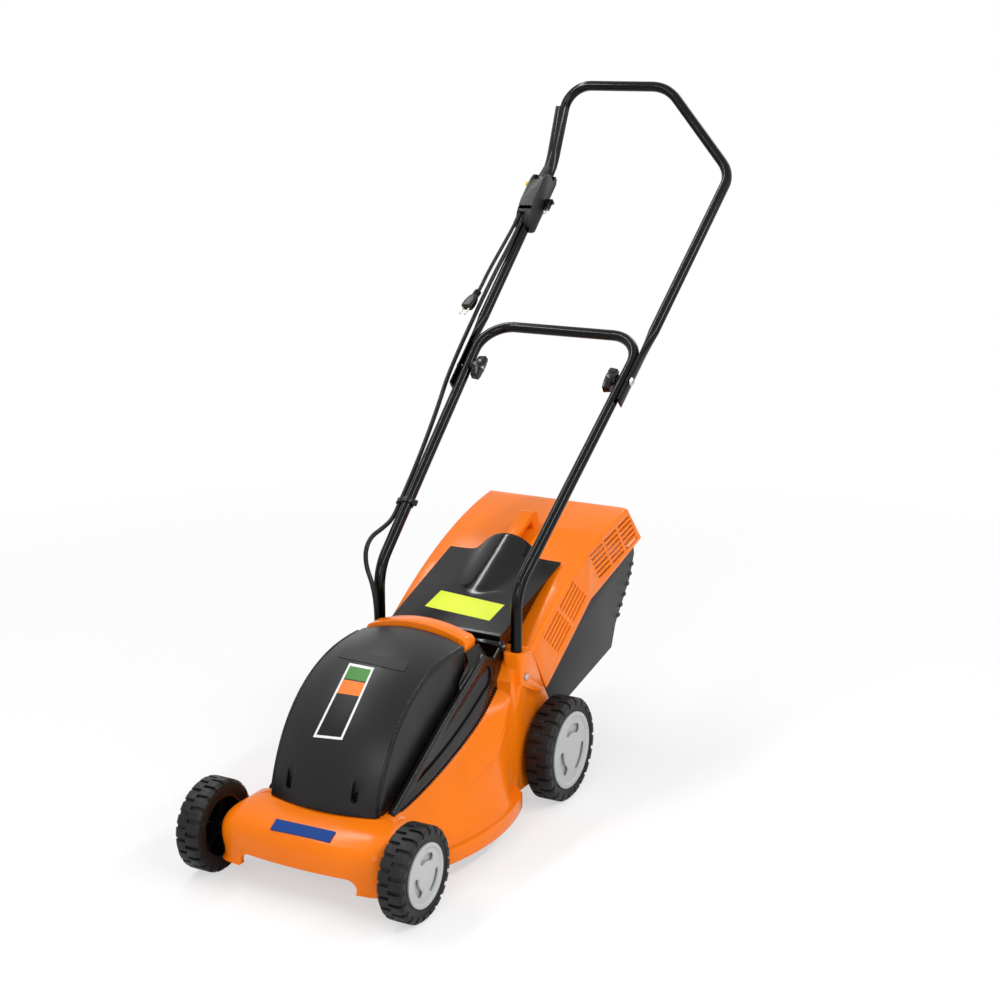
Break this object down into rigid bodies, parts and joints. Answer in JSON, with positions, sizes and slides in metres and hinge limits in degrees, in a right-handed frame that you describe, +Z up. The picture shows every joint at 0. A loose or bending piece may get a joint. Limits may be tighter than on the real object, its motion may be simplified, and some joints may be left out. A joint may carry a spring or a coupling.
{
  "type": "push lawn mower",
  "caption": "Walk-behind electric lawn mower with a moulded deck, folding tube handle, squeeze switch, flap over the chute and a lift-off grass box.",
  "frame": {"origin": "on the ground under the middle of the overall length and width, wheels standing on z = 0", "axes": "+X towards the operator's left, +Y to the rear (towards the handle), +Z up"},
  "size_m": [0.4176, 1.288, 1.1605],
  "materials": {
    "orange_plastic": "gloss",
    "black_plastic": "satin",
    "grey_plastic": "satin",
    "hub_grey_plastic": "satin",
    "tyre_plastic": "matte",
    "black_tube": "gloss",
    "zinc_steel": "zinc",
    "motor_steel": "satin",
    "lamination_steel": "bare",
    "cord_rubber": "matte",
    "yellow_plastic": "gloss",
    "pin_brass": "nickelled"
  },
  "bodies": {
    "deck": {"deck_shell": "orange_plastic", "motor_hood": "black_plastic", "hood_screws": "zinc_steel", "motor_cowl": "black_plastic", "motor_can": "motor_steel", "motor_screws": "zinc_steel", "stator": "lamination_steel", "lower_bearing": "zinc_steel", "upper_bearing": "zinc_steel", "front_axle": "zinc_steel", "rear_axle": "zinc_steel", "axle_caps": "zinc_steel", "lower_handle": "black_tube", "socket_screws": "zinc_steel", "hinge_pin": "zinc_steel", "flap_spring": "zinc_steel", "cable_clip": "black_plastic", "deck_grommet": "cord_rubber", "motor_cable_lower": "cord_rubber"},
    "rotor": {"motor_shaft": "zinc_steel", "rotor_core": "lamination_steel", "cooling_fan": "black_plastic", "blade_adapter": "motor_steel", "blade": "zinc_steel", "blade_bolt": "zinc_steel"},
    "flap": {"flap": "black_plastic"},
    "grass_box": {"box_lid": "orange_plastic", "box_body": "grey_plastic"},
    "upper_handle": {"upper_handle": "black_tube", "handle_bolts": "zinc_steel", "switch_box_front": "black_plastic", "switch_box_rear": "black_plastic", "switch_box_screws": "zinc_steel", "microswitch": "black_plastic", "lever_pin": "zinc_steel", "cord_hook": "black_plastic", "hook_loop": "zinc_steel", "motor_cable_upper": "cord_rubber", "plug_cord": "cord_rubber", "plug_body": "cord_rubber", "plug_pins": "pin_brass"},
    "switch_lever": {"switch_lever": "black_plastic"},
    "lock_button": {"lock_button": "yellow_plastic"},
    "left_knob": {"left_knob": "black_plastic"},
    "right_knob": {"right_knob": "black_plastic"},
    "front_left_wheel": {"front_left_tyre": "tyre_plastic", "front_left_rim": "black_plastic", "front_left_hub_cap": "hub_grey_plastic"},
    "front_right_wheel": {"front_right_tyre": "tyre_plastic", "front_right_rim": "black_plastic", "front_right_hub_cap": "hub_grey_plastic"},
    "rear_left_wheel": {"rear_left_tyre": "tyre_plastic", "rear_left_rim": "black_plastic", "rear_left_hub_cap": "hub_grey_plastic"},
    "rear_right_wheel": {"rear_right_tyre": "tyre_plastic", "rear_right_rim": "black_plastic", "rear_right_hub_cap": "hub_grey_plastic"}
  },
  "joints": [
    {"name": "blade_spin", "type": "hinge", "parent": "deck", "child": "rotor", "pos_m": [0, -0.32551, 0.1], "axis": [0, 0, 1], "continuous": true},
    {"name": "front_left_roll", "type": "hinge", "parent": "deck", "child": "front_left_wheel", "pos_m": [0.17875, -0.57181, 0.0722], "axis": [1, 0, 0], "continuous": true},
    {"name": "front_right_roll", "type": "hinge", "parent": "deck", "child": "front_right_wheel", "pos_m": [-0.17875, -0.57181, 0.0722], "axis": [1, 0, 0], "continuous": true},
    {"name": "rear_left_roll", "type": "hinge", "parent": "deck", "child": "rear_left_wheel", "pos_m": [0.16835, -0.07921, 0.0878], "axis": [1, 0, 0], "continuous": true},
    {"name": "rear_right_roll", "type": "hinge", "parent": "deck", "child": "rear_right_wheel", "pos_m": [-0.16835, -0.07921, 0.0878], "axis": [1, 0, 0], "continuous": true},
    {"name": "flap_hinge", "type": "hinge", "parent": "deck", "child": "flap", "pos_m": [0, -0.17551, 0.286], "axis": [1, 0, 0], "range_deg": [0, 75], "stiffness_Nm_per_rad": 0.25, "springref_deg": -34.38},
    {"name": "box_lift_off", "type": "slide", "parent": "deck", "child": "grass_box", "axis": [0, 0.9478, 0.319], "range_m": [0, 0.4]},
    {"name": "handle_fold", "type": "hinge", "parent": "deck", "child": "upper_handle", "pos_m": [0, 0.18175, 0.668], "axis": [1, 0, 0], "range_deg": [0, 150], "deforming": ["motor_cable_upper"]},
    {"name": "left_knob_turn", "type": "hinge", "parent": "upper_handle", "child": "left_knob", "pos_m": [0.134, 0.18175, 0.668], "axis": [1, 0, 0], "continuous": true},
    {"name": "right_knob_turn", "type": "hinge", "parent": "upper_handle", "child": "right_knob", "pos_m": [-0.134, 0.18175, 0.668], "axis": [1, 0, 0], "continuous": true},
    {"name": "lever_squeeze", "type": "hinge", "parent": "upper_handle", "child": "switch_lever", "pos_m": [-0.18313, 0.52756, 0.9767], "axis": [0.9994, 0.0275, 0.0228], "range_deg": [-3.5, 0], "stiffness_Nm_per_rad": 1.5, "springref_deg": 6.88},
    {"name": "lock_press", "type": "slide", "parent": "upper_handle", "child": "lock_button", "axis": [0.9994, 0.0275, 0.0228], "range_m": [0, 0.005], "stiffness_N_per_m": 400, "springref_m": -0.003}
  ]
}
